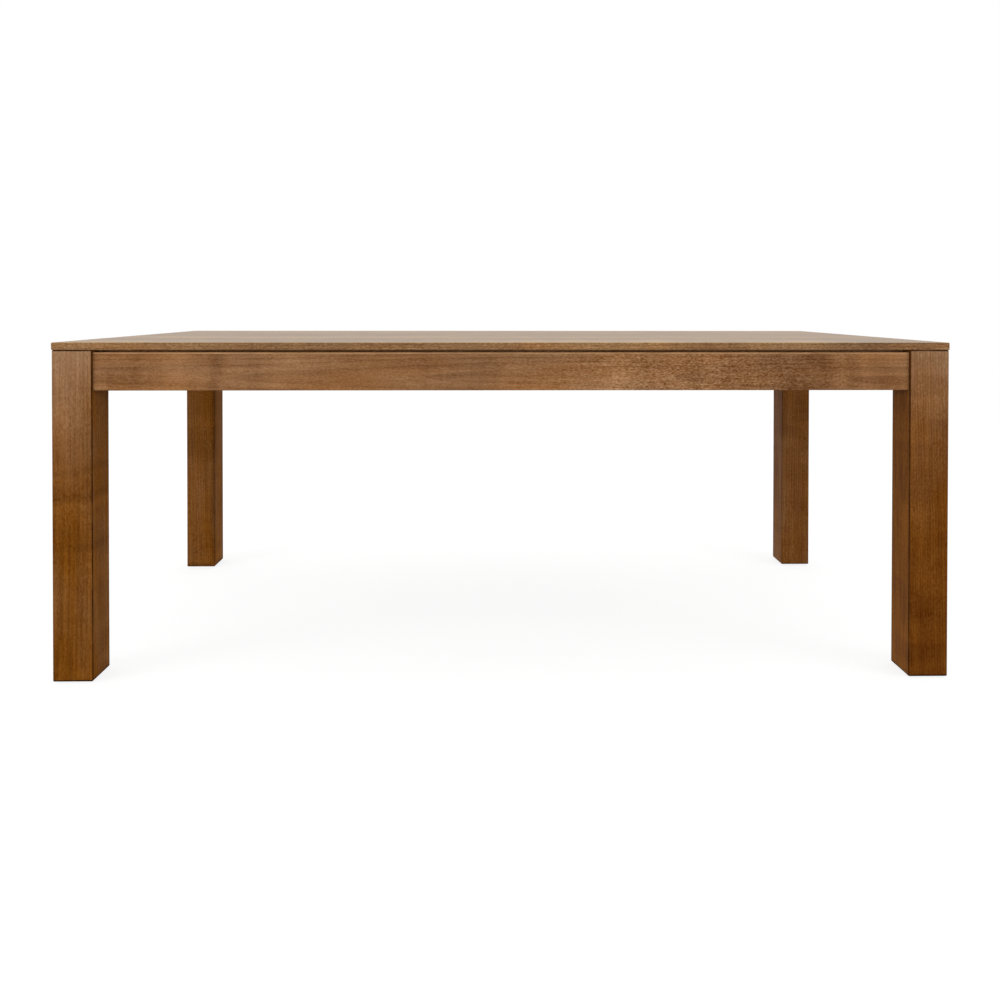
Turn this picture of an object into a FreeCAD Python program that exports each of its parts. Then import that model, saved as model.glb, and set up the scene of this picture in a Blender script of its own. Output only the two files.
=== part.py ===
# Parsons dining table in solid timber.
# Boards glued edge to edge make a thin top. It lies on four square legs set flush with its corners.
# Four aprons stand between the legs, a little behind their faces and a little below the top, which
# leaves a shadow line under the top. Behind the aprons, cleats and cross rails carry the top, and
# corner blocks with hanger bolts draw each leg tight against the ends of two aprons.
# Millimetres. X runs along the table, Y from front to back, Z up. The origin is on the floor, under
# the middle of the top.

import FreeCAD
import Part

import math
import os

Vector = FreeCAD.Vector

# Overall size of the table
table_length = 2000.0
table_depth = 950.0
table_height = 755.0

# Top
top_thickness = 17.0
top_board_count = 7
top_edge_radius = 2.5
top_overhang = 1.0  # of the top past the legs' outer faces

# Legs
leg_width = 88.0
leg_edge_radius = 3.0
leg_flat_cut = 20.0  # taken off each face at the inner corner, where the bolts go in
leg_flat_room = 6.0  # of this flat below the corner block

# Aprons
apron_height = 85.0
apron_thickness = 22.0
apron_edge_radius = 1.5
apron_setback = 5.0  # of the apron's face behind the leg's face
shadow_gap = 5.0  # between the top's underside and the apron

# Cleats, the strips behind the aprons that the top is screwed to
cleat_width = 20.0
cleat_height = 30.0
cleat_end_play = 2.0  # between a cleat's end and the leg
hidden_edge_radius = 1.0  # of every sawn edge inside the frame

# Cross rails, from the front apron to the back one
rail_count = 3
rail_thickness = 22.0
rail_lift = 20.0  # of the rail's lower edge above the apron's

# Corner blocks
block_thickness = 30.0
block_lift = 6.0  # of the block's lower face above the apron's lower edge
block_headroom = 4.0  # between the block and the cleats above it
block_gap = 10.0  # between the block and the leg, which the bolts can close

# Dowels between the cross rails and the aprons
dowel_diameter = 8.0
dowel_length = 30.0
dowel_apron_depth = 12.0
dowel_end_chamfer = 1.0
dowel_spacing_share = 0.5  # of the rail's height below the cleat

# Wood screws
screw_diameter = 4.5
screw_head_diameter = 9.0
screw_head_height = 3.0
screw_tip_length = 5.0
screw_cover = 5.0  # of wood left past a screw's tip
screw_fit = 0.05  # clearance round a thread in its pilot hole
screw_play = 0.3  # clearance round a shank in a piece it passes through
tip_room = 0.5  # past a screw's or a bolt's tip
counterbore_play = 0.75  # clearance round a head or washer in its counterbore
drive_length = 5.2
drive_width = 1.2
drive_depth = 1.6

# Screws of the cleats and of the top, as shares of a cleat's or rail's length from its middle
long_cleat_screw_shares = (-0.42, -0.25, -0.08, 0.08, 0.25, 0.42)
long_top_screw_shares = (-0.34, -0.165, 0.165, 0.34)
end_cleat_screw_shares = (-0.4, 0.0, 0.4)
end_top_screw_shares = (-0.2, 0.2)
rail_top_screw_shares = (-0.25, 0.25)
cleat_screw_height_share = 0.4  # of the cleat's height, from below
top_screw_washer_diameter = 14.0
top_screw_washer_thickness = 1.2
slot_length = 10.0  # of a top screw's hole, across the top's grain

# Screws of the corner blocks
block_screw_grip = 12.0  # of the block's wood under the head
block_screw_spacing_share = 0.6  # of the block's height

# Hanger bolts
bolt_diameter = 8.0
bolt_bite = 50.0
bolt_tip_length = 7.0
bolt_spacing_share = 0.5  # of the block's height
bolt_stickout = 8.0  # past the nut
bolt_thread_pitch = 1.25
bolt_thread_depth = 0.7
bolt_play = 0.5  # clearance in the block
bolt_washer_diameter = 20.0
bolt_washer_thickness = 1.6
nut_width = 13.0  # across flats
nut_height = 6.5
nut_chamfer_share = 0.12  # of the nut's width

# Floor glides and their nails
glide_diameter = 30.0
glide_thickness = 3.0
glide_chamfer = 0.8
nail_diameter = 2.5
nail_length = 18.0
nail_tip_length = 4.0
nail_head_diameter = 6.0
nail_head_height = 0.8
nail_head_lift = 0.6  # of the head above the floor

cut_overrun = 1.0  # of a cut past the face it opens

# Directions
ORIGIN = Vector(0, 0, 0)
RIGHT = Vector(1, 0, 0)
BACK = Vector(0, 1, 0)
UP = Vector(0, 0, 1)
DIAGONAL = Vector(1, 1, 0) / math.sqrt(2)  # from the front left leg to the table's middle

# Heights that the pieces share
top_underside = table_height - top_thickness
apron_top = top_underside - shadow_gap
apron_bottom = apron_top - apron_height
cleat_bottom = top_underside - cleat_height
rail_bottom = apron_bottom + rail_lift
rail_shoulder = cleat_bottom - rail_bottom
block_bottom = apron_bottom + block_lift
block_height = cleat_bottom - block_headroom - block_bottom
block_middle = block_bottom + block_height / 2

# Faces in plan, as distances from the table's middle
leg_outer_x = table_length / 2 - top_overhang
leg_outer_y = table_depth / 2 - top_overhang
leg_inner_x = leg_outer_x - leg_width
leg_inner_y = leg_outer_y - leg_width
apron_inset = apron_setback + apron_thickness  # of the apron's inner face from the leg's outer face
apron_inner_x = leg_outer_x - apron_inset
apron_inner_y = leg_outer_y - apron_inset

# A corner in plan, as distances from the leg's outer corner: along the diagonal, then along a side
leg_flat_reach = (2 * leg_width - leg_flat_cut) / math.sqrt(2)
block_outer_reach = leg_flat_reach + block_gap
block_inner_reach = block_outer_reach + block_thickness
block_foot_start = block_outer_reach * math.sqrt(2) - apron_inset
block_foot_end = block_inner_reach * math.sqrt(2) - apron_inset
block_foot_middle = (block_foot_start + block_foot_end) / 2

# Lengths of what spans between two corners
long_cleat_length = 2 * (leg_inner_x - cleat_end_play)
end_cleat_length = 2 * (leg_inner_y - cleat_end_play)
rail_length = 2 * apron_inner_y
rail_pitch = 2 * leg_inner_x / (rail_count + 1)
rail_places = [rail_pitch * (i - (rail_count - 1) / 2) for i in range(rail_count)]

# Lengths of thread in the pieces that the screws hold
apron_bite = apron_thickness - screw_cover
top_bite = top_thickness - screw_cover

SIDES = {"front_left": (-1, -1), "front_right": (1, -1), "back_left": (-1, 1), "back_right": (1, 1)}


# Basic shapes and moves

def box(low, high):
    size = high - low
    return Part.makeBox(size.x, size.y, size.z, low)


def eased_box(low, high, radius):
    block = box(low, high)
    return block.makeFillet(radius, block.Edges)


def prism(points, low, high):
    """An upright prism over a plan outline, from one height to another."""
    outline = [Vector(point.x, point.y, low) for point in points]
    return Part.Face(Part.makePolygon(outline + outline[:1])).extrude(UP * (high - low))


def turned(profile):
    """A solid turned about Z from the (radius, height) points of its outline."""
    points = [Vector(radius, 0, height) for radius, height in profile]
    return Part.Face(Part.makePolygon(points + points[:1])).revolve(ORIGIN, UP, 360)


def aimed(shape, point, direction):
    """A shape made along Z from the origin, put at a point and turned to a direction."""
    placed = shape.copy()
    placed.Placement = FreeCAD.Placement(point, FreeCAD.Rotation(UP, direction))
    return placed


def drilled(point, direction, diameter, depth):
    """The cutter of a hole that starts an overrun before a point."""
    start = point - direction * cut_overrun
    return Part.makeCylinder(diameter / 2, depth + cut_overrun, start, direction)


def mirrored(shape, side_x, side_y):
    """A shape of the front left corner, mirrored to the given sides."""
    if side_x > 0:
        shape = shape.mirror(ORIGIN, RIGHT)
    if side_y > 0:
        shape = shape.mirror(ORIGIN, BACK)
    return shape


def to_right(shape):
    return mirrored(shape, 1, -1)


def to_back(shape):
    return mirrored(shape, -1, 1)


def at_all_corners(shapes):
    """Shapes of the front left corner, repeated at the four corners as one group."""
    return Part.makeCompound([mirrored(shape, *side) for side in SIDES.values() for shape in shapes])


def corner_point(inward_x, inward_y, height=0):
    """A point at the front left, measured inward from the leg's outer faces."""
    return Vector(-leg_outer_x + inward_x, -leg_outer_y + inward_y, height)


def diagonal_point(reach, height):
    """A point on the front left corner's diagonal."""
    return corner_point(0, 0, height) + DIAGONAL * reach


def paired(middle, spacing):
    return (middle - spacing / 2, middle + spacing / 2)


# Places of the fasteners, used by the holes and by the fasteners themselves

def bolt_heights():
    return paired(block_middle, block_height * bolt_spacing_share)


def block_screw_seats():
    """Head seats and directions of the screws in the front left block, into both aprons."""
    seat = apron_inset + block_screw_grip
    seats = []
    for height in paired(block_middle, block_height * block_screw_spacing_share):
        seats.append((corner_point(block_foot_middle, seat, height), -BACK))
        seats.append((corner_point(seat, block_foot_middle, height), -RIGHT))
    return seats


def long_cleat_screw_seats():
    """Head faces and directions of the screws from the front cleat into the front apron."""
    height = cleat_bottom + cleat_height * cleat_screw_height_share
    face = -apron_inner_y + cleat_width
    return [(Vector(long_cleat_length * share, face, height), -BACK) for share in long_cleat_screw_shares]


def end_cleat_screw_seats():
    """Head faces and directions of the screws from the left cleat into the left apron."""
    height = cleat_bottom + cleat_height * cleat_screw_height_share
    face = -apron_inner_x + cleat_width
    return [(Vector(face, end_cleat_length * share, height), -RIGHT) for share in end_cleat_screw_shares]


def long_top_screw_seats():
    """Washer seats of the screws that go up through the front cleat."""
    middle = -apron_inner_y + cleat_width / 2
    return [Vector(long_cleat_length * share, middle, cleat_bottom) for share in long_top_screw_shares]


def end_top_screw_seats():
    """Washer seats of the screws that go up through the left cleat."""
    middle = -apron_inner_x + cleat_width / 2
    return [Vector(middle, end_cleat_length * share, cleat_bottom) for share in end_top_screw_shares]


def rail_top_screw_seats(place):
    """Washer seats of the screws that go up through a cross rail, deep in its counterbores."""
    return [Vector(place, rail_length * share, cleat_bottom) for share in rail_top_screw_shares]


def all_top_screw_seats():
    seats = [Vector(p.x, side * p.y, p.z) for p in long_top_screw_seats() for side in (1, -1)]
    seats += [Vector(side * p.x, p.y, p.z) for p in end_top_screw_seats() for side in (1, -1)]
    for place in rail_places:
        seats += rail_top_screw_seats(place)
    return seats


def front_dowel_points(place):
    """Points where a cross rail's dowels cross the front apron's inner face."""
    heights = paired(rail_bottom + rail_shoulder / 2, rail_shoulder * dowel_spacing_share)
    return [Vector(place, -apron_inner_y, height) for height in heights]


def all_front_dowel_points():
    return [point for place in rail_places for point in front_dowel_points(place)]


# Fasteners

def drive_recess(face):
    """The cutter of a cross recess in a head whose face is at the given height and looks down."""
    bar = box(Vector(-drive_length / 2, -drive_width / 2, face - cut_overrun),
              Vector(drive_length / 2, drive_width / 2, face + drive_depth))
    return bar.fuse(bar.rotated(ORIGIN, UP, 90))


def flat_head_screw(grip, bite):
    """A countersunk screw along Z, with its head's face at height zero."""
    head = screw_head_diameter / 2
    shank = screw_diameter / 2
    length = grip + bite
    cone = head - shank
    blank = turned([(0, 0), (head, 0), (shank, cone), (shank, length - screw_tip_length), (0, length)])
    return blank.cut(drive_recess(0))


def pan_head_screw(grip, bite):
    """A pan head screw along Z, with the underside of its head at height zero."""
    head = screw_head_diameter / 2
    shank = screw_diameter / 2
    length = grip + bite
    face = -screw_head_height
    crown = screw_head_height / 2
    blank = turned([(0, face), (head - crown, face), (head, face + crown), (head, 0), (shank, 0),
                    (shank, length - screw_tip_length), (0, length)])
    return blank.cut(drive_recess(face))


def washer(outer, inner, thickness):
    """A flat washer along Z, from height zero up."""
    return Part.makeCylinder(outer / 2, thickness).cut(Part.makeCylinder(inner / 2, thickness))


def pilot(seat, direction, length):
    """The cutter of the pilot hole of a screw as long as given from its seat."""
    return drilled(seat, direction, screw_diameter + 2 * screw_fit, length + tip_room)


def passage(seat, direction, grip):
    """The cutter of the hole that a screw passes through."""
    return drilled(seat, direction, screw_diameter + 2 * screw_play, grip + cut_overrun)


def countersink(face, direction):
    """The cutter of a countersunk head's seat."""
    head = screw_head_diameter / 2 + screw_play
    shank = screw_diameter / 2 + screw_play
    return Part.makeCone(head, shank, head - shank, face, direction)


def slot(seat):
    """The cutter of a top screw's hole, drawn out front to back so that the top can swell and shrink."""
    radius = screw_diameter / 2 + screw_play
    reach = slot_length / 2 - radius
    low = cleat_bottom - cut_overrun
    high = top_underside + cut_overrun
    middle = box(Vector(seat.x - radius, seat.y - reach, low), Vector(seat.x + radius, seat.y + reach, high))
    ends = [Part.makeCylinder(radius, high - low, Vector(seat.x, y, low)) for y in paired(seat.y, 2 * reach)]
    return middle.multiFuse(ends)


def top_screw_counterbore(seat):
    """The cutter that lets a top screw and its washer up into a cross rail."""
    diameter = top_screw_washer_diameter + 2 * counterbore_play
    return drilled(Vector(seat.x, seat.y, rail_bottom), UP, diameter, rail_shoulder)


def hanger_bolt(length):
    """A bolt along Z: a point for the leg's wood, and turned ridges on the end that takes the nut."""
    radius = bolt_diameter / 2
    root = radius - bolt_thread_depth
    ridge_count = int(bolt_stickout / bolt_thread_pitch)
    first_ridge = length - ridge_count * bolt_thread_pitch
    points = [(0, 0), (radius, bolt_tip_length), (radius, first_ridge)]
    for i in range(ridge_count):
        start = first_ridge + i * bolt_thread_pitch
        points.append((root, start + bolt_thread_pitch / 2))
        points.append((radius, start + bolt_thread_pitch))
    return turned(points + [(0, length)])


def hexagon_nut():
    """A nut along Z, from height zero up, with both ends of its corners chamfered."""
    corner = nut_width / math.sqrt(3)
    hexagon = [Vector(corner, 0, 0)]
    for i in range(5):
        hexagon.append(FreeCAD.Rotation(UP, 60).multVec(hexagon[i]))
    chamfer = nut_width * nut_chamfer_share
    face = corner - chamfer
    low, high = chamfer / 2, nut_height - chamfer / 2
    rounding = turned([(0, 0), (face, 0), (corner, low), (corner, high), (face, nut_height),
                       (0, nut_height)])
    bore = drilled(ORIGIN, UP, bolt_diameter + 2 * screw_fit, nut_height + cut_overrun)
    return prism(hexagon, 0, nut_height).common(rounding).cut(bore)


# Pieces of the top

def top_boards():
    """The boards of the top, front to back, cut from one slab with eased edges."""
    half = Vector(table_length / 2, table_depth / 2, 0)
    slab = eased_box(UP * top_underside - half, UP * table_height + half, top_edge_radius)
    end = half.x + cut_overrun
    low = top_underside - cut_overrun
    high = table_height + cut_overrun
    board_width = table_depth / top_board_count
    pilot_radius = screw_diameter / 2 + screw_fit
    boards = []
    for i in range(top_board_count):
        front = i * board_width - half.y
        back = front + board_width
        strip = box(Vector(-end, front, low), Vector(end, back, high))
        pilots = [pilot(seat, UP, cleat_height + top_bite) for seat in all_top_screw_seats()
                  if front - pilot_radius < seat.y < back + pilot_radius]
        board = slab.common(strip)
        boards.append(board.cut(pilots) if pilots else board)
    return boards


# Pieces of the frame

def leg():
    """The front left leg, with its bolt holes, the flat they start from and its glide's nail hole."""
    post = eased_box(corner_point(0, 0, glide_thickness), corner_point(leg_width, leg_width, top_underside),
                     leg_edge_radius)
    near = leg_width - leg_flat_cut - cut_overrun
    far = leg_width + cut_overrun
    flat = prism([corner_point(near, far), corner_point(far, near), corner_point(far, far)],
                 block_bottom - leg_flat_room, top_underside + cut_overrun)
    bores = [drilled(diagonal_point(leg_flat_reach, height), -DIAGONAL,
                     bolt_diameter + 2 * screw_fit, bolt_bite + tip_room) for height in bolt_heights()]
    nail_end = nail_head_lift + nail_length + tip_room
    nail_hole = drilled(glide_centre(glide_thickness), UP, nail_diameter + 2 * screw_fit,
                        nail_end - glide_thickness)
    return post.cut([flat, nail_hole] + bores)


def block_pilots():
    return [pilot(seat, way, block_screw_grip + apron_bite) for seat, way in block_screw_seats()]


def front_apron():
    """The front apron, drilled at the back for the dowels, cleat screws and block screws."""
    apron = eased_box(Vector(-leg_inner_x, -leg_outer_y + apron_setback, apron_bottom),
                      Vector(leg_inner_x, -apron_inner_y, apron_top), apron_edge_radius)
    holes = [drilled(point, -BACK, dowel_diameter, dowel_apron_depth) for point in all_front_dowel_points()]
    holes += [pilot(seat, way, cleat_width + apron_bite) for seat, way in long_cleat_screw_seats()]
    holes += block_pilots() + [to_right(hole) for hole in block_pilots()]
    return apron.cut(holes)


def left_apron():
    """The left apron, drilled inside for the cleat screws and block screws."""
    apron = eased_box(Vector(-leg_outer_x + apron_setback, -leg_inner_y, apron_bottom),
                      Vector(-apron_inner_x, leg_inner_y, apron_top), apron_edge_radius)
    holes = [pilot(seat, way, cleat_width + apron_bite) for seat, way in end_cleat_screw_seats()]
    holes += block_pilots() + [to_back(hole) for hole in block_pilots()]
    return apron.cut(holes)


def bored_cleat(strip, screw_seats, top_seats):
    """A cleat with its countersunk screw holes and the slots of the top screws."""
    holes = [passage(seat, way, cleat_width) for seat, way in screw_seats]
    holes += [countersink(seat, way) for seat, way in screw_seats]
    holes += [slot(seat) for seat in top_seats]
    return strip.cut(holes)


def front_cleat():
    half = long_cleat_length / 2
    strip = eased_box(Vector(-half, -apron_inner_y, cleat_bottom),
                      Vector(half, -apron_inner_y + cleat_width, top_underside), hidden_edge_radius)
    return bored_cleat(strip, long_cleat_screw_seats(), long_top_screw_seats())


def left_cleat():
    half = end_cleat_length / 2
    strip = eased_box(Vector(-apron_inner_x, -half, cleat_bottom),
                      Vector(-apron_inner_x + cleat_width, half, top_underside), hidden_edge_radius)
    return bored_cleat(strip, end_cleat_screw_seats(), end_top_screw_seats())


def cross_rail(place):
    """A cross rail, notched at both ends round the cleats, with dowel holes and top screw holes."""
    left, right = paired(place, rail_thickness)
    rail = eased_box(Vector(left, -apron_inner_y, rail_bottom), Vector(right, apron_inner_y, top_underside),
                     hidden_edge_radius)
    notch = box(Vector(left - cut_overrun, -apron_inner_y - cut_overrun, cleat_bottom),
                Vector(right + cut_overrun, -apron_inner_y + cleat_width, top_underside + cut_overrun))
    bores = [drilled(point, BACK, dowel_diameter, dowel_length - dowel_apron_depth)
             for point in front_dowel_points(place)]
    cuts = [notch] + bores
    cuts += [to_back(cut) for cut in cuts]
    for seat in rail_top_screw_seats(place):
        cuts += [slot(seat), top_screw_counterbore(seat)]
    return rail.cut(cuts)


def corner_block():
    """The front left block, with its bolt holes and the counterbored screw holes of both feet."""
    outline = [corner_point(apron_inset, block_foot_start), corner_point(block_foot_start, apron_inset),
               corner_point(block_foot_end, apron_inset), corner_point(apron_inset, block_foot_end)]
    block = prism(outline, block_bottom, block_bottom + block_height)
    block = block.makeFillet(hidden_edge_radius, block.Edges)
    holes = [drilled(diagonal_point(block_outer_reach, height), DIAGONAL,
                     bolt_diameter + 2 * bolt_play, block_thickness + cut_overrun)
             for height in bolt_heights()]
    head_room = block_foot_end - block_foot_start
    for seat, way in block_screw_seats():
        holes.append(passage(seat, way, block_screw_grip))
        holes.append(Part.makeCylinder(screw_head_diameter / 2 + counterbore_play, head_room, seat, -way))
    return block.cut(holes)


# Groups of fasteners

def rail_dowels():
    pin = Part.makeCylinder(dowel_diameter / 2, dowel_length)
    pin = pin.makeChamfer(dowel_end_chamfer, [edge for edge in pin.Edges if edge.Closed])
    front = [aimed(pin, point - BACK * dowel_apron_depth, BACK) for point in all_front_dowel_points()]
    return Part.makeCompound(front + [to_back(dowel) for dowel in front])


def cleat_screws():
    screw = flat_head_screw(cleat_width, apron_bite)
    front = [aimed(screw, *seat) for seat in long_cleat_screw_seats()]
    left = [aimed(screw, *seat) for seat in end_cleat_screw_seats()]
    back = [to_back(placed) for placed in front]
    right = [to_right(placed) for placed in left]
    return Part.makeCompound(front + back + left + right)


def top_screws():
    screw = pan_head_screw(top_screw_washer_thickness + cleat_height, top_bite)
    under_washer = UP * -top_screw_washer_thickness
    return Part.makeCompound([aimed(screw, seat + under_washer, UP) for seat in all_top_screw_seats()])


def top_screw_washers():
    ring = washer(top_screw_washer_diameter, screw_diameter + 2 * screw_play, top_screw_washer_thickness)
    return Part.makeCompound([aimed(ring, seat, -UP) for seat in all_top_screw_seats()])


def block_screws():
    screw = pan_head_screw(block_screw_grip, apron_bite)
    return at_all_corners([aimed(screw, *seat) for seat in block_screw_seats()])


def hanger_bolts():
    tip_reach = leg_flat_reach - bolt_bite
    end_reach = block_inner_reach + bolt_washer_thickness + nut_height + bolt_stickout
    bolt = hanger_bolt(end_reach - tip_reach)
    return at_all_corners([aimed(bolt, diagonal_point(tip_reach, height), DIAGONAL)
                           for height in bolt_heights()])


def bolt_washers():
    ring = washer(bolt_washer_diameter, bolt_diameter + 2 * screw_play, bolt_washer_thickness)
    return at_all_corners([aimed(ring, diagonal_point(block_inner_reach, height), DIAGONAL)
                           for height in bolt_heights()])


def bolt_nuts():
    nut = hexagon_nut()
    reach = block_inner_reach + bolt_washer_thickness
    return at_all_corners([aimed(nut, diagonal_point(reach, height), DIAGONAL)
                           for height in bolt_heights()])


# Glides under the legs

def glide_centre(height):
    return corner_point(leg_width / 2, leg_width / 2, height)


def glide():
    """The front left glide, a disc with a chamfered foot and a seat for its nail's head."""
    radius = glide_diameter / 2
    bore = nail_diameter / 2 + screw_fit
    seat = nail_head_diameter / 2 + screw_play
    seat_height = nail_head_lift + nail_head_height
    points = [(seat, 0), (radius - glide_chamfer, 0), (radius, glide_chamfer), (radius, glide_thickness),
              (bore, glide_thickness), (bore, seat_height), (seat, seat_height)]
    return aimed(turned(points), glide_centre(0), UP)


def glide_nail():
    """The nail of the front left glide, with its head up inside the glide."""
    head = nail_head_diameter / 2
    shank = nail_diameter / 2
    points = [(0, 0), (head, 0), (head, nail_head_height), (shank, nail_head_height),
              (shank, nail_length - nail_tip_length), (0, nail_length)]
    return aimed(turned(points), glide_centre(nail_head_lift), UP)


def all_parts():
    """Every piece of the table by name."""
    parts = {f"top_board_{i + 1}": board for i, board in enumerate(top_boards())}
    corner_pieces = {"leg": leg(), "corner_block": corner_block(), "glide": glide()}
    for corner, side in SIDES.items():
        for name, shape in corner_pieces.items():
            parts[f"{corner}_{name}"] = mirrored(shape, *side)
    aprons = ("apron", front_apron(), left_apron())
    cleats = ("cleat", front_cleat(), left_cleat())
    for name, front, left in (aprons, cleats):
        parts[f"front_{name}"] = front
        parts[f"back_{name}"] = to_back(front)
        parts[f"left_{name}"] = left
        parts[f"right_{name}"] = to_right(left)
    for i, place in enumerate(rail_places):
        parts[f"cross_rail_{i + 1}"] = cross_rail(place)
    parts["rail_dowels"] = rail_dowels()
    parts["cleat_screws"] = cleat_screws()
    parts["top_screws"] = top_screws()
    parts["top_screw_washers"] = top_screw_washers()
    parts["block_screws"] = block_screws()
    parts["hanger_bolts"] = hanger_bolts()
    parts["bolt_washers"] = bolt_washers()
    parts["bolt_nuts"] = bolt_nuts()
    parts["glide_nails"] = at_all_corners([glide_nail()])
    return parts


os.makedirs("parts", exist_ok=True)
for node, shape in all_parts().items():
    shape.exportStep(f"parts/{node}.step")
    print(f"{node}: {len(shape.Solids)} solids, valid {shape.isValid()}")
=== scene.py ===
import math
import random

import bmesh
import bpy
from mathutils import Euler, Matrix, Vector


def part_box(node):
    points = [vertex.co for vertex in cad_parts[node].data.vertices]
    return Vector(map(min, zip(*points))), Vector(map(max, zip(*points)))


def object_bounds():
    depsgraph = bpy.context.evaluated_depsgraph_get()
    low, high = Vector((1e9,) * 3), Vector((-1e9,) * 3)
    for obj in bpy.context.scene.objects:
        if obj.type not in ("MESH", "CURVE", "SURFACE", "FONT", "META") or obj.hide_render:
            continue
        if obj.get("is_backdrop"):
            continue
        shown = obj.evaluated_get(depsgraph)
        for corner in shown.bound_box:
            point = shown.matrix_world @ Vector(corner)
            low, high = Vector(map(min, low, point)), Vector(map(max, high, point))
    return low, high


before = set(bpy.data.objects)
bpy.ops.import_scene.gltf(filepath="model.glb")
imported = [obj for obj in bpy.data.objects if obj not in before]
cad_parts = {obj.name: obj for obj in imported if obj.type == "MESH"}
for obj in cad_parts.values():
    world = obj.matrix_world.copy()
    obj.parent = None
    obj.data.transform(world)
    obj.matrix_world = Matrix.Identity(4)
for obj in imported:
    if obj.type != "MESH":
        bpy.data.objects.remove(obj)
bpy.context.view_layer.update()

# The looks of the dining table: brown-stained birch under lacquer, its fasteners and glides, and a plain
# white studio round it. Every piece keeps its CAD shape. Lengths are in metres, unless a comment says
# that they are in millimetres.

MM = 0.001
WHITE = "#FFFFFF"


# Material helpers

def linear(code):
    """The linear colour of an sRGB hex code."""
    channels = [int(code[i:i + 2], 16) / 255 for i in (1, 3, 5)]
    straight = [c / 12.92 if c <= 0.04045 else ((c + 0.055) / 1.055) ** 2.4 for c in channels]
    return (*straight, 1.0)


def add(tree, kind, settings={}, inputs={}):
    """Adds a node with its settings. An input is a plain value, or the output that it is linked from."""
    node = tree.nodes.new("ShaderNode" + kind)
    for name, value in settings.items():
        setattr(node, name, value)
    for name, value in inputs.items():
        if isinstance(name, str):
            socket = next(s for s in node.inputs if s.enabled and s.name == name)
        else:
            socket = node.inputs[name]
        if isinstance(value, bpy.types.NodeSocket):
            tree.links.new(value, socket)
        else:
            socket.default_value = value
    return next((s for s in node.outputs if s.enabled), None)


def empty_material(name):
    material = bpy.data.materials.new(name)
    material.use_nodes = True
    material.node_tree.nodes.clear()
    return material


# Timber

# Width across the grain and length along it of what birch shows, in millimetres. Fibres and vessels
# are really a tenth of a millimetre wide, and are drawn as wide as they need to be to show.
BIRCH_PATTERNS = {
    "wander": (130, 900),  # of the growth rings
    "tone": (90, 420),  # slow changes from dark to pale
    "warm": (70, 240),  # patches where the stain is warmer or cooler
    "curl": (170, 45),  # soft bands across the grain
    "curl_place": (220, 260),  # where those are strong
    "streak": (9, 260),
    "fibre": (2.6, 36),
    "fleck": (2.6, 6),
    "vessels": (2.2, 9),
    "line_patches": (30, 60),  # of where the line along the arrises, stain with painted shade or a painted highlight, is stronger
}
GRAIN_DETAIL = 2.0
NOISE_MEAN = 0.5
NOISE_RANGE = (0.35, 0.65)  # where most of a noise lies
WANDER = 14 * MM  # how far the growth rings stray from true circles
RING_WIDTH = 5.5 * MM
EARLYWOOD_SHARE = 0.4  # of a growth ring, before it starts to darken

# How much each pattern moves a spot between the dark and the pale brown, or its lightness to the eye
TONE_SHARE = 0.42
CURL_SHARE = 0.5
RING_SHARE = -0.1
FINE_GRAIN_SHARES = {"fibre": 0.42, "fleck": 1.1}
PALE_MEAN = 0.63
PALE_POWER = 1.5  # above 1, the pale streaks stand out as much as the dark ones
EYE_POWER = 2.2  # of the lightness that the eye sees, which gives the light itself
WARM_SHARE = 0.16  # how much warmer or cooler than the piece its patches are
VESSEL_RANGE = (0.5, 0.72)  # of its noise, from where there is no vessel to where there is one
VESSEL_SHARE = 0.08  # how much of the vessels' own brown shows
FADE_POWER = 1.7  # above 1, the painted light from above is strongest near a piece's far end
FACE_COSINE = 0.5  # of the angle between a face's normal and a direction, above which it looks that way
FIGURE_WAVER = 90 * MM  # how far a band of figure strays from a straight line across the piece
ARRIS_ROUNDING = 2 * MM
FINE_LINE = 5 * MM  # how far from an arris its line reaches
SOFT_LINE = 18 * MM  # and how far a broad soft line reaches
GRAIN_DEPTH = 0.3 * MM
ROUGHNESS_SPREAD = 0.08

APRON_BROWNS = ("#502B0D", "#C0946C")  # where the stain took most and least
LEG_BROWNS = ("#4E300E", "#AC8462")
RED_LEG_BROWNS = ("#4C2807", "#AE8764")
TOP_BROWNS = ("#5C3A1A", "#C29868")
WARM_TINT = "#E9BE5C"  # what the brown is multiplied by where the stain is warmest
PAINTED_LIGHT_TINT = "#F7F2B6"  # and the tint of the painted light from above, on the top's upper face
VESSEL_BROWN = "#3F2408"
STAIN_AND_SHADE_LINE = "#241104"  # partly stain gathered along the arrises, partly painted shade in the recesses and joints next to them
PAINTED_ARRIS_HIGHLIGHT = "#C0946A"  # a painted highlight along the aprons' upper arrises, against the shade under the top

# The film on the stain. Its gloss would be 0.5 for plain lacquer, and matting powder lowers it. open_grain
# is how much of the grain's relief is left through it.
SATIN_LACQUER = {"roughness": 0.52, "gloss": 0.03, "open_grain": 0.15}
FLAT_LACQUER = {"roughness": 0.56, "gloss": 0.008, "open_grain": 0.15}
RUBBED_LACQUER = {"roughness": 0.36, "gloss": 0.26, "open_grain": 0.1}  # the top, polished by use
SEALER_ONLY = {"roughness": 0.62, "gloss": 0.25, "open_grain": 0.3}  # what is hidden under the table

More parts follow.
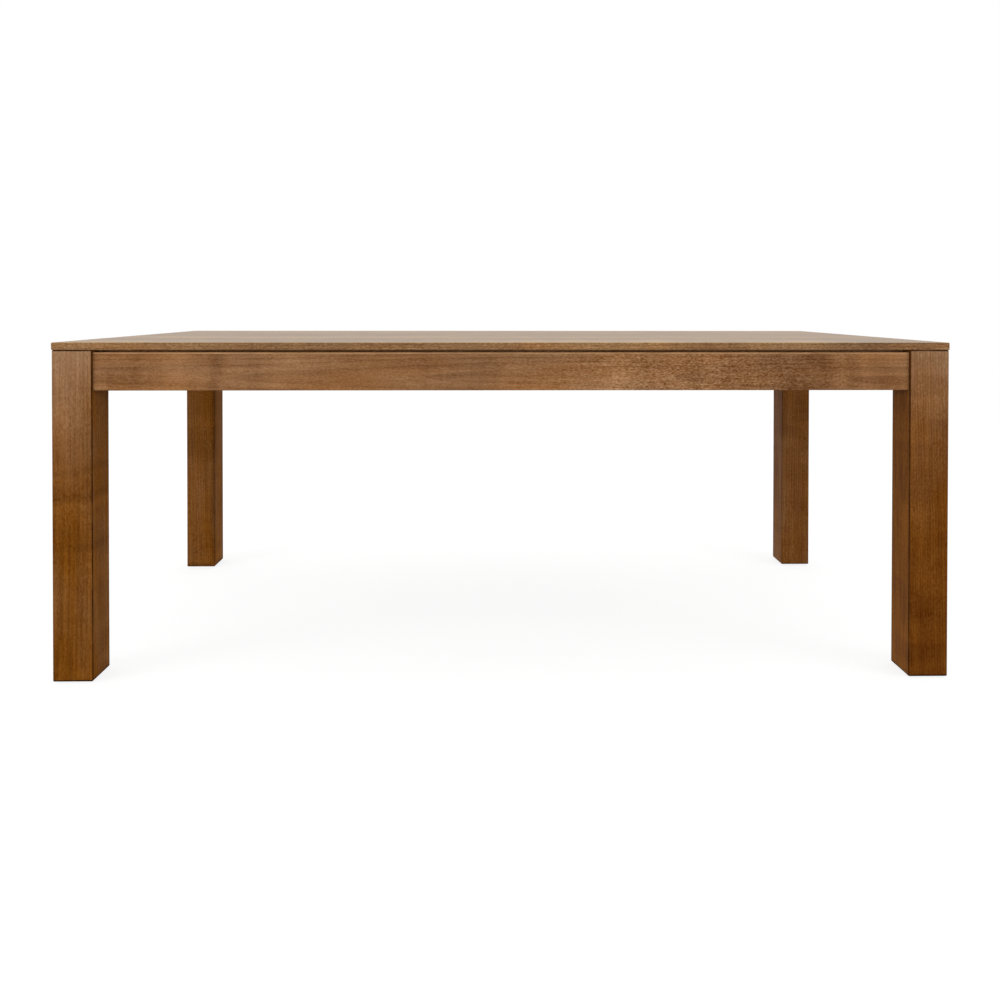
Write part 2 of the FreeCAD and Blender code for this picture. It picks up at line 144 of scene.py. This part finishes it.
# What one piece may show more or less of than another. Amounts of paleness are shares of the way from the
# dark to the pale brown. A band goes across the piece: its place from the middle and its half width, both
# in millimetres, and how much it adds.
PLAIN_LOOK = {
    "film": SEALER_ONLY,
    "browns": APRON_BROWNS,
    "shade": 0.0,  # how much paler the piece is than the mean
    "inward": (0, 0, 0),  # which way its inner faces look
    "inner": 0.0,  # how much paler those are painted, as painted light on them
    "outward": (0, 0, 0),  # which way its outer faces look, which get the painted light from above
    "paling": 0.0,  # how much paler that painted light makes them towards the far end
    "fade_start_share": 0.0,  # of the piece's length, from where on
    "painted_light_tinting": 0.0,  # how much of the painted light's tint they take on there
    "warmth": 0.4,  # how much of the warm tint the stain has where there is no painted light
    "streak": 0.31,  # how much the streaks along the grain add
    "fine_grain": (0.3, 0.3),  # how strong the fine grain is at the near and the far end
    "coarse": (),  # bands where it is stronger
    "figure": (),  # bands that are paler or darker
    "arris": (STAIN_AND_SHADE_LINE, 0.2, FINE_LINE),  # colour, strength and reach of the line along the arrises, which is stain and painted shade where dark and a painted highlight where pale
}

GRAIN_ORDER = {"X": "YZX", "Y": "XZY", "Z": "XYZ"}  # two directions across the grain, then along it


def place_in_log(wood, place, order, middle, heart, lean):
    """Where each spot was in the round log that the piece was sawn from, whose heart runs along Z."""
    axes = add(wood, "SeparateXYZ", inputs={"Vector": place}).node.outputs
    log = add(wood, "CombineXYZ", inputs={i: axes[letter] for i, letter in enumerate(order)})
    start = -(Euler(lean).to_matrix() @ middle) - Vector(heart)
    return add(wood, "Mapping", inputs={"Vector": log, "Location": start, "Rotation": lean})


def birch_patterns(wood, log):
    """What the timber shows: a noise for each entry of the list, with growth rings and curl from them."""
    patterns = {}
    for part, (width, length) in BIRCH_PATTERNS.items():
        scale = [1 / (size * MM) for size in (width, width, length)]
        scaled = add(wood, "VectorMath", {"operation": "MULTIPLY"}, {0: log, 1: scale})
        patterns[part] = add(wood, "TexNoise", inputs={
            "Vector": scaled, "Scale": 1.0, "Detail": GRAIN_DETAIL})
        if part == "wander":
            # All that comes after it strays with the rings
            stray = patterns[part].node.outputs["Color"]
            stray = add(wood, "VectorMath", {"operation": "MULTIPLY"}, {0: stray, 1: (WANDER, WANDER, 0)})
            log = add(wood, "VectorMath", {"operation": "ADD"}, {0: log, 1: stray})

    across = add(wood, "VectorMath", {"operation": "MULTIPLY"}, {0: log, 1: (1, 1, 0)})
    radius = add(wood, "VectorMath", {"operation": "LENGTH"}, {0: across})
    ring = add(wood, "Math", {"operation": "DIVIDE"}, {0: radius, 1: RING_WIDTH})
    ring = add(wood, "Math", {"operation": "FRACT"}, {0: ring})
    patterns["ring"] = add(wood, "MapRange", {"interpolation_type": "SMOOTHSTEP"},
                           {"Value": ring, "From Min": EARLYWOOD_SHARE})
    curl_place = add(wood, "MapRange", inputs={
        "Value": patterns["curl_place"], "From Min": NOISE_RANGE[0], "From Max": NOISE_RANGE[1]})
    curl = add(wood, "Math", {"operation": "SUBTRACT"}, {0: patterns["curl"], 1: NOISE_MEAN})
    patterns["curl"] = add(wood, "Math", {"operation": "MULTIPLY"}, {0: curl, 1: curl_place})
    return patterns


def faces_towards(wood, direction):
    """1 on the faces that look in a direction, and 0 on the others."""
    facing = add(wood, "TexCoord").node.outputs["Normal"]
    facing = add(wood, "VectorMath", {"operation": "DOT_PRODUCT"}, {0: facing, 1: direction})
    return add(wood, "Math", {"operation": "GREATER_THAN"}, {0: facing, 1: FACE_COSINE})


def with_bands(wood, value, bands, along, middle):
    """Adds bands across the piece to a value, each strongest in its middle and gone at its half width."""
    for place, half_width, strength in bands:
        off = add(wood, "Math", {"operation": "SUBTRACT"}, {0: along, 1: middle + place * MM})
        off = add(wood, "Math", {"operation": "ABSOLUTE"}, {0: off})
        band = add(wood, "MapRange", {"interpolation_type": "SMOOTHSTEP"},
                   {"Value": off, "From Max": half_width * MM, "To Min": strength, "To Max": 0.0})
        value = add(wood, "Math", {"operation": "ADD"}, {0: value, 1: band})
    return value


def painted_light_from_above(wood, along, ends, look):
    """Painted light from above: how much paler, cooler and yellower each spot of the outer faces is drawn,
    most of all near the far end.
    """
    near, far = ends
    start = near + look["fade_start_share"] * (far - near)
    paling = add(wood, "MapRange", inputs={"Value": along, "From Min": start, "From Max": far})
    paling = add(wood, "Math", {"operation": "POWER"}, {0: paling, 1: FADE_POWER})
    outer = faces_towards(wood, look["outward"])
    return add(wood, "Math", {"operation": "MULTIPLY"}, {0: paling, 1: outer})


def paleness(wood, patterns, paling, along, ends, look):
    """How pale each spot is: the sum of what the timber shows, with painted light on the inner faces and on
    the outer ones.
    """
    inner = faces_towards(wood, look["inward"])
    mean = PALE_MEAN + look["shade"] - NOISE_MEAN * (TONE_SHARE + look["streak"])
    pale = add(wood, "Math", {"operation": "MULTIPLY_ADD"}, {0: inner, 1: look["inner"], 2: mean})
    sums = [(patterns["tone"], TONE_SHARE), (patterns["streak"], look["streak"]),
            (patterns["curl"], CURL_SHARE), (patterns["ring"], RING_SHARE), (paling, look["paling"])]
    for value, share in sums:
        pale = add(wood, "Math", {"operation": "MULTIPLY_ADD"}, {0: value, 1: share, 2: pale})
    waver = add(wood, "Math", {"operation": "MULTIPLY_ADD"},
                {0: patterns["curl_place"], 1: FIGURE_WAVER, 2: along})
    pale = with_bands(wood, pale, look["figure"], waver, sum(ends) / 2 + FIGURE_WAVER * NOISE_MEAN)
    return add(wood, "Math", {"operation": "POWER", "use_clamp": True}, {0: pale, 1: PALE_POWER})


def stain_colour(wood, pale, paling, warm_patches, look):
    """The stain's brown: warmer in some patches than in others, and cooler and yellowed where the painted
    light from above falls.
    """
    dark_brown, pale_brown = look["browns"]
    brown = add(wood, "Mix", {"data_type": "RGBA"},
                {"Factor": pale, "A": linear(dark_brown), "B": linear(pale_brown)})
    warm = add(wood, "Math", {"operation": "MULTIPLY_ADD"},
               {0: paling, 1: -look["warmth"], 2: look["warmth"]})
    patch = add(wood, "MapRange", inputs={
        "Value": warm_patches, "From Min": NOISE_RANGE[0], "From Max": NOISE_RANGE[1],
        "To Min": -WARM_SHARE, "To Max": WARM_SHARE})
    warm = add(wood, "Math", {"operation": "ADD", "use_clamp": True}, {0: warm, 1: patch})
    painted_light_tinting = add(wood, "Math", {"operation": "MULTIPLY"}, {0: paling, 1: look["painted_light_tinting"]})
    for share, tint in ((warm, WARM_TINT), (painted_light_tinting, PAINTED_LIGHT_TINT)):
        brown = add(wood, "Mix", {"data_type": "RGBA", "blend_type": "MULTIPLY"},
                    {"Factor": share, "A": brown, "B": linear(tint)})
    return brown


def with_fine_grain(wood, brown, patterns, along, ends, look):
    """Adds fine grain, in steps of lightness that are as large to the eye on dark spots as on pale ones."""
    grain = -NOISE_MEAN * sum(FINE_GRAIN_SHARES.values())
    for part, share in FINE_GRAIN_SHARES.items():
        grain = add(wood, "Math", {"operation": "MULTIPLY_ADD"}, {0: patterns[part], 1: share, 2: grain})
    near_strength, far_strength = look["fine_grain"]
    strength = add(wood, "MapRange", inputs={
        "Value": along, "From Min": ends[0], "From Max": ends[1],
        "To Min": near_strength, "To Max": far_strength})
    strength = with_bands(wood, strength, look["coarse"], along, sum(ends) / 2)
    grain = add(wood, "Math", {"operation": "MULTIPLY"}, {0: grain, 1: strength})
    seen = add(wood, "Gamma", inputs={"Color": brown, "Gamma": 1 / EYE_POWER})
    seen = add(wood, "VectorMath", {"operation": "ADD"}, {0: seen, 1: grain})
    seen = add(wood, "VectorMath", {"operation": "MAXIMUM"}, {0: seen, 1: (0, 0, 0)})
    return add(wood, "Gamma", inputs={"Color": seen, "Gamma": EYE_POWER})


def arris_distance(wood, place, edges):
    """How far each spot is from the nearest arris of a box: the middle one of the distances to its faces
    along the three axes."""
    to_low = add(wood, "VectorMath", {"operation": "SUBTRACT"}, {0: place, 1: edges[0]})
    to_high = add(wood, "VectorMath", {"operation": "SUBTRACT"}, {0: edges[1], 1: place})
    nearest = add(wood, "VectorMath", {"operation": "MINIMUM"}, {0: to_low, 1: to_high})
    x, y, z = add(wood, "SeparateXYZ", inputs={"Vector": nearest}).node.outputs
    smaller = add(wood, "Math", {"operation": "MINIMUM"}, {0: x, 1: y})
    larger = add(wood, "Math", {"operation": "MAXIMUM"}, {0: x, 1: y})
    larger = add(wood, "Math", {"operation": "MINIMUM"}, {0: larger, 1: z})
    return add(wood, "Math", {"operation": "MAXIMUM"}, {0: smaller, 1: larger})


def stained_birch(name, piece, edges, grain, heart, lean, look):
    """Birch sawn from a round log, wiped with brown stain, then sprayed with lacquer.

    To the eye: fine short fibres and dark vessel lines along the grain, slow changes of tone, soft bands of
    curl and figure across the grain, and a line along the arrises: where dark, partly stain and partly
    painted shade in recesses and joints, and where pale, a painted highlight. Inner and outer faces are
    painted paler as light on them. piece and edges are boxes, of the piece itself and of what its arrises
    belong to.
    """
    material = empty_material(name)
    wood = material.node_tree
    place = add(wood, "TexCoord").node.outputs["Object"]
    along = add(wood, "SeparateXYZ", inputs={"Vector": place}).node.outputs[grain]
    order = GRAIN_ORDER[grain]
    low, high = (Vector([corner["XYZ".index(letter)] for letter in order]) for corner in piece)
    ends = (low.z, high.z)
    log = place_in_log(wood, place, order, (low + high) / 2, heart, lean)
    patterns = birch_patterns(wood, log)

    paling = painted_light_from_above(wood, along, ends, look)
    pale = paleness(wood, patterns, paling, along, ends, look)
    brown = stain_colour(wood, pale, paling, patterns["warm"], look)
    brown = with_fine_grain(wood, brown, patterns, along, ends, look)
    vessels = add(wood, "MapRange", inputs={
        "Value": patterns["vessels"], "From Min": VESSEL_RANGE[0], "From Max": VESSEL_RANGE[1],
        "To Max": VESSEL_SHARE})
    brown = add(wood, "Mix", {"data_type": "RGBA"},
                {"Factor": vessels, "A": brown, "B": linear(VESSEL_BROWN)})
    # The line along the arrises: stain and painted shade where it is dark, a painted highlight where it is
    # pale
    line_colour, line_strength, line_reach = look["arris"]
    line = add(wood, "MapRange", {"interpolation_type": "SMOOTHSTEP"},
               {"Value": arris_distance(wood, place, edges), "From Min": ARRIS_ROUNDING,
                "From Max": line_reach, "To Min": line_strength, "To Max": 0.0})
    line = add(wood, "Math", {"operation": "MULTIPLY"}, {0: line, 1: patterns["line_patches"]})
    brown = add(wood, "Mix", {"data_type": "RGBA"},
                {"Factor": line, "A": brown, "B": linear(line_colour)})

    film = look["film"]
    roughness = add(wood, "MapRange", inputs={
        "Value": patterns["fleck"], "To Min": film["roughness"] - ROUGHNESS_SPREAD,
        "To Max": film["roughness"] + ROUGHNESS_SPREAD})
    height = add(wood, "Math", {"operation": "SUBTRACT"}, {0: patterns["fibre"], 1: vessels})
    bump = add(wood, "Bump", inputs={
        "Height": height, "Strength": film["open_grain"], "Distance": GRAIN_DEPTH})
    surface = add(wood, "BsdfPrincipled", inputs={
        "Base Color": brown, "Roughness": roughness, "Normal": bump, "Specular IOR Level": film["gloss"]})
    add(wood, "OutputMaterial", inputs={"Surface": surface})
    return material


# Fittings

# Size of the clouds in each finish along X, Y and Z in millimetres, its two colours and roughnesses, and
# how metallic it is. The dowels' grain runs along Y.
FITTING_FINISHES = {
    # Steel, barrel plated with zinc: a pale bluish metal, a little cloudy where the plating is thicker
    "zinc_plated_steel": ((6, 6, 6), ("#A9ADB0", "#D3D5D2"), (0.25, 0.45), 1.0),
    # Nylon, moulded in brown: even and a little waxy, scuffed paler by the floor
    "moulded_nylon": ((2, 2, 2), ("#2E2118", "#4A382B"), (0.4, 0.65), 0.0),
    # Beech, turned and left bare: a pale tan with short darker flecks along the grain
    "turned_beech": ((0.8, 6, 0.8), ("#B98A60", "#D2A77B"), (0.6, 0.75), 0.0),
}
CLOUD_DETAIL = 3.0
CLOUD_STRENGTH = 0.15
CLOUD_DEPTH = 0.05 * MM


def fitting_material(name):
    """A finish with soft clouds, which its colour, roughness and relief all follow."""
    cloud_size, colours, roughnesses, metallic = FITTING_FINISHES[name]
    material = empty_material(name)
    finish = material.node_tree
    place = add(finish, "TexCoord").node.outputs["Object"]
    scale = [1 / (size * MM) for size in cloud_size]
    place = add(finish, "VectorMath", {"operation": "MULTIPLY"}, {0: place, 1: scale})
    cloud = add(finish, "TexNoise", inputs={"Vector": place, "Scale": 1.0, "Detail": CLOUD_DETAIL})
    colour = add(finish, "Mix", {"data_type": "RGBA"},
                 {"Factor": cloud, "A": linear(colours[0]), "B": linear(colours[1])})
    roughness = add(finish, "MapRange", inputs={
        "Value": cloud, "To Min": roughnesses[0], "To Max": roughnesses[1]})
    bump = add(finish, "Bump", inputs={
        "Height": cloud, "Strength": CLOUD_STRENGTH, "Distance": CLOUD_DEPTH})
    surface = add(finish, "BsdfPrincipled", inputs={
        "Base Color": colour, "Metallic": metallic, "Roughness": roughness, "Normal": bump})
    add(finish, "OutputMaterial", inputs={"Surface": surface})
    return material


def dress(node, material):
    """Gives a CAD node its material."""
    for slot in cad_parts[node].material_slots:
        slot.link = "OBJECT"
        slot.material = material


# How each timber piece was sawn

HEART_DISTANCE = (60 * MM, 130 * MM)  # from the middle of a piece to the heart of its log
LOG_LENGTH = 60.0  # the pieces come from places all along this
LEAN = 0.012  # how far, in radians, the grain runs off the piece's own line
ACROSS_FACE = 0.4  # how far, in radians, the heart is off the middle of a flat-sawn face


def dress_timber(node, grain, heart_side=None, edges=None, turn=(0, 0, 0), **look):
    """Dresses a timber node as sawn from its own log, with what its look differs in from the plain one.

    heart_side is the direction of the log's heart in radians, from the first direction across the grain,
    and any direction where it isn't given. turn is how far the grain is turned off its axis, in radians
    round the three directions of its grain order.
    """
    draw = random.Random(node)
    if heart_side is None:
        angle = draw.uniform(0, math.tau)
    else:
        angle = heart_side + draw.uniform(-ACROSS_FACE, ACROSS_FACE)
    distance = draw.uniform(*HEART_DISTANCE)
    heart = (distance * math.cos(angle), distance * math.sin(angle), draw.uniform(0, LOG_LENGTH))
    lean = Vector(turn) + Vector((draw.gauss(0, LEAN), draw.gauss(0, LEAN), 0))
    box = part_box(node)
    material = stained_birch(f"stained_birch_{node}", box, edges or box, grain, heart, lean,
                             PLAIN_LOOK | look)
    dress(node, material)


# The top, whose boards lie heart side down and up in turn

ALL_ALONG_SHARE = -20.0  # so many lengths before its near end that the painted light from above covers the whole board
# The top's upper face is painted paler, cooler and yellowed, as light from above
BOARD_LOOK = {
    "film": RUBBED_LACQUER, "browns": TOP_BROWNS, "warmth": 0.25, "fine_grain": (0.37, 0.37),
    "outward": (0, 0, 1), "paling": 0.15, "fade_start_share": ALL_ALONG_SHARE, "painted_light_tinting": 1.0,
}
BOARD_SHADES = (-0.26, -0.073)
BOARD_FIGURE = {"top_board_1": ((-370, 330, -0.13), (170, 380, 0.14), (360, 110, 0.07), (690, 90, 0.08),
                                (860, 160, -0.16))}
HEART_UP = math.pi / 2

boards = sorted(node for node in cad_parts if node.startswith("top_board"))
slab = (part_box(boards[0])[0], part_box(boards[-1])[1])
for i, node in enumerate(boards):
    heart_side = HEART_UP if i % 2 else -HEART_UP
    shade = random.Random(i).uniform(*BOARD_SHADES)
    figure = BOARD_FIGURE.get(node, ())
    dress_timber(node, "X", heart_side, slab, shade=shade, figure=figure, **BOARD_LOOK)


# The legs, and the blocks in the corners behind them. The legs have no line along their outer upright
# arrises; the line along their inner ones is partly painted shade, and their faces carry painted light

# The legs' outer faces are painted paler and less warm towards the top, as light from above and a sheen
# there
LEG_LOOK = {
    "film": SATIN_LACQUER, "browns": LEG_BROWNS, "streak": 0.4, "fine_grain": (0.2, 0.2),
    "paling": 0.27, "fade_start_share": 0.37,
}
LEG_LOOKS = {
    "front_left": {
        "film": FLAT_LACQUER, "shade": -0.11, "warmth": 0.84, "fine_grain": (0.15, 0.2),
        "outward": (-1, -1, 0), "inward": (1, 1, 0), "inner": 0.13,
        "arris": (STAIN_AND_SHADE_LINE, 3.0, FINE_LINE),
        "figure": ((101, 14, -0.08), (44, 14, -0.07), (22, 15, 0.07), (-62, 22, -0.1)),
    },
    "front_right": {
        "browns": RED_LEG_BROWNS, "shade": -0.2, "warmth": 1.15, "fine_grain": (0.15, 0.19),
        "outward": (1, -1, 0), "paling": 0.29, "inward": (-1, 1, 0), "inner": 0.18,
        "arris": (STAIN_AND_SHADE_LINE, 3.0, FINE_LINE),
    },
    "back_left": {
        "film": FLAT_LACQUER, "shade": -0.03, "warmth": 0.8,
        "outward": (-1, 1, 0), "inward": (1, 0, 0), "inner": 0.15,
        "arris": (STAIN_AND_SHADE_LINE, 0.75, SOFT_LINE),
    },
    "back_right": {
        "browns": RED_LEG_BROWNS, "shade": -0.1, "warmth": 0.72,
        "outward": (1, 1, 0), "inward": (-1, 0, 0), "inner": 0.08,
        "arris": (STAIN_AND_SHADE_LINE, 1.2, FINE_LINE),
    },
}
CLEAR = 1.0  # further than any line along an arris reaches
ARRIS_SHIFT = 3 * MM  # how far past the inner side its line is measured from, which keeps the line thin, on the inner side beside the apron and at the top under the boards, where it is painted shade
ACROSS_CORNER = math.pi / 4

for corner, look in LEG_LOOKS.items():
    low, high = (Vector(end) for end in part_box(f"{corner}_leg"))
    high.z += ARRIS_SHIFT / 2
    if corner.endswith("left"):
        low.x -= CLEAR
        high.x += ARRIS_SHIFT
    else:
        low.x -= ARRIS_SHIFT
        high.x += CLEAR
    dress_timber(f"{corner}_leg", "Z", edges=(low, high), **(LEG_LOOK | look))
    turn = ACROSS_CORNER if corner in ("front_left", "back_right") else -ACROSS_CORNER
    dress_timber(f"{corner}_corner_block", "X", turn=(0, turn, 0))


# The aprons, with a painted highlight along only their upper arrises, and the cleats and cross rails behind
# them

APRON_LOOK = {
    "film": SATIN_LACQUER, "shade": -0.03, "warmth": 0.3, "fine_grain": (0.2, 0.2),
    "coarse": ((418, 480, 0.32),), "arris": (PAINTED_ARRIS_HIGHLIGHT, 1.2, FINE_LINE),
}
APRON_FIGURE = {"front": ((-817, 28, -0.12), (-735, 45, 0.1), (-650, 32, -0.14), (250, 70, 0.1),
                          (690, 110, -0.15))}

for side, grain in (("front", "X"), ("back", "X"), ("left", "Y"), ("right", "Y")):
    low, high = (Vector(end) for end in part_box(f"{side}_apron"))
    along = Vector((grain == "X", grain == "Y", 0)) * CLEAR
    edges = (low - along - Vector((0, 0, CLEAR)), high + along)
    figure = APRON_FIGURE.get(side, ())
    dress_timber(f"{side}_apron", grain, heart_side=0, edges=edges, figure=figure, **APRON_LOOK)
    dress_timber(f"{side}_cleat", grain)

for node in ("cross_rail_1", "cross_rail_2", "cross_rail_3"):
    dress_timber(node, "Y")


# The fittings' nodes

FITTING_NODES = {
    "zinc_plated_steel": ("cleat_screws", "top_screws", "top_screw_washers", "block_screws", "hanger_bolts",
                          "bolt_washers", "bolt_nuts", "glide_nails"),
    "moulded_nylon": [f"{corner}_glide" for corner in LEG_LOOKS],
    "turned_beech": ("rail_dowels",),
}
for finish, nodes in FITTING_NODES.items():
    material = fitting_material(finish)
    for node in nodes:
        dress(node, material)


# Studio

FLOOR_SIZE = 30.0
FLOOR_FADE = (3.0, 8.0)  # distances from the table's middle between which the floor goes to white
FLOOR_GREY = "#848484"
FLOOR_LIFT = 0.82  # what the camera sees beyond that grey, so that only the shadow is left of it


def studio_floor():
    """A pale painted floor that keeps the table's shadow and goes to the white of the backdrop."""
    mesh = bpy.data.meshes.new("studio_floor")
    shape = bmesh.new()
    bmesh.ops.create_grid(shape, x_segments=1, y_segments=1, size=FLOOR_SIZE / 2)
    shape.to_mesh(mesh)
    shape.free()
    floor = bpy.data.objects.new("studio_floor", mesh)
    bpy.context.scene.collection.objects.link(floor)
    floor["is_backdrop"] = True
    mesh.materials.append(floor_paint())


def floor_paint():
    """Matt grey paint, lifted to white for the camera and for what the table reflects, and clear from
    below, so that the table's underside can be seen."""
    material = empty_material("pale_matt_floor_paint")
    paint = material.node_tree
    path = add(paint, "LightPath").node.outputs
    shown = add(paint, "Math", {"operation": "MAXIMUM"},
                {0: path["Is Camera Ray"], 1: path["Is Glossy Ray"]})
    shown = add(paint, "Math", {"operation": "MAXIMUM"}, {0: shown, 1: path["Is Transmission Ray"]})
    lift = add(paint, "Math", {"operation": "MULTIPLY"}, {0: shown, 1: FLOOR_LIFT})
    lift = add(paint, "Emission", inputs={"Color": linear(WHITE), "Strength": lift})
    own = add(paint, "BsdfDiffuse", inputs={"Color": linear(FLOOR_GREY)})
    near = add(paint, "AddShader", inputs={0: own, 1: lift})
    white = add(paint, "Emission", inputs={"Color": linear(WHITE), "Strength": 1.0})
    place = add(paint, "TexCoord").node.outputs["Object"]
    distance = add(paint, "VectorMath", {"operation": "LENGTH"}, {0: place})
    paling = add(paint, "MapRange", {"interpolation_type": "SMOOTHSTEP"},
               {"Value": distance, "From Min": FLOOR_FADE[0], "From Max": FLOOR_FADE[1]})
    paling = add(paint, "Math", {"operation": "MULTIPLY"}, {0: paling, 1: shown})
    surface = add(paint, "MixShader", inputs={"Fac": paling, 1: near, 2: white})
    from_below = add(paint, "NewGeometry").node.outputs["Backfacing"]
    clear = add(paint, "BsdfTransparent")
    surface = add(paint, "MixShader", inputs={"Fac": from_below, 1: surface, 2: clear})
    add(paint, "OutputMaterial", inputs={"Surface": surface})
    return material


def white_world():
    """A white backdrop all round, which is the soft light too."""
    world = bpy.data.worlds.new("white_backdrop")
    world.use_nodes = True
    sky = world.node_tree
    sky.nodes.clear()
    background = add(sky, "Background", inputs={"Color": linear(WHITE), "Strength": 1.0})
    add(sky, "OutputWorld", inputs={"Surface": background})
    bpy.context.scene.world = world


SOFTBOX_SIZE = (1.6, 1.2)
SOFTBOX_PLACE = Vector((4.0, -2.4, 1.0))  # of the right one, and the left one mirrors it
SOFTBOX_TARGET = Vector((-0.9, -0.3, 0.5))  # the inner side of the leg across
SOFTBOX_POWERS = {"left_softbox": 76, "right_softbox": 68}  # watts


def softbox(name):
    """A lamp on one side that lights the inner sides of the legs across, behind a polarising sheet, which
    keeps its glare off the lacquer."""
    mirror = Vector((-1 if name.startswith("left") else 1, 1, 1))
    place = SOFTBOX_PLACE * mirror
    aim = SOFTBOX_TARGET * mirror - place
    lamp = bpy.data.lights.new(name, "AREA")
    lamp.shape = "RECTANGLE"
    lamp.size, lamp.size_y = SOFTBOX_SIZE
    lamp.energy = SOFTBOX_POWERS[name]
    box = bpy.data.objects.new(name, lamp)
    box.location = place
    box.rotation_euler = aim.to_track_quat("-Z", "Y").to_euler()
    box.visible_camera = False
    box.visible_glossy = False
    bpy.context.scene.collection.objects.link(box)


# Camera, at the photo's viewpoint

IMAGE_SIDE = 1000  # pixels
FOCAL_LENGTH = 875.4  # pixels
PRINCIPAL_POINT = (505.4, 315.9)  # pixels from the left and from the top
CAMERA_PLACE = (-0.0313, -2.420, 0.8348)
LEVEL = 90  # degrees up from straight down, which is where an unturned camera looks
CAMERA_PITCH = -0.604  # degrees up
CAMERA_YAW = 0.993  # degrees to the right
CAMERA_ROLL = 0.053  # degrees


def photo_camera():
    lens = bpy.data.cameras.new("photo_camera")
    lens.lens = FOCAL_LENGTH / IMAGE_SIDE * lens.sensor_width
    lens.shift_x = (IMAGE_SIDE / 2 - PRINCIPAL_POINT[0]) / IMAGE_SIDE
    lens.shift_y = (PRINCIPAL_POINT[1] - IMAGE_SIDE / 2) / IMAGE_SIDE
    camera = bpy.data.objects.new("photo_camera", lens)
    camera.location = CAMERA_PLACE
    turn = (LEVEL + CAMERA_PITCH, -CAMERA_ROLL, -CAMERA_YAW)
    camera.rotation_euler = [math.radians(angle) for angle in turn]
    bpy.context.scene.collection.objects.link(camera)
    bpy.context.scene.camera = camera


studio_floor()
white_world()
for name in SOFTBOX_POWERS:
    softbox(name)
photo_camera()
bpy.context.scene.view_settings.view_transform = "Standard"

low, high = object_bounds()
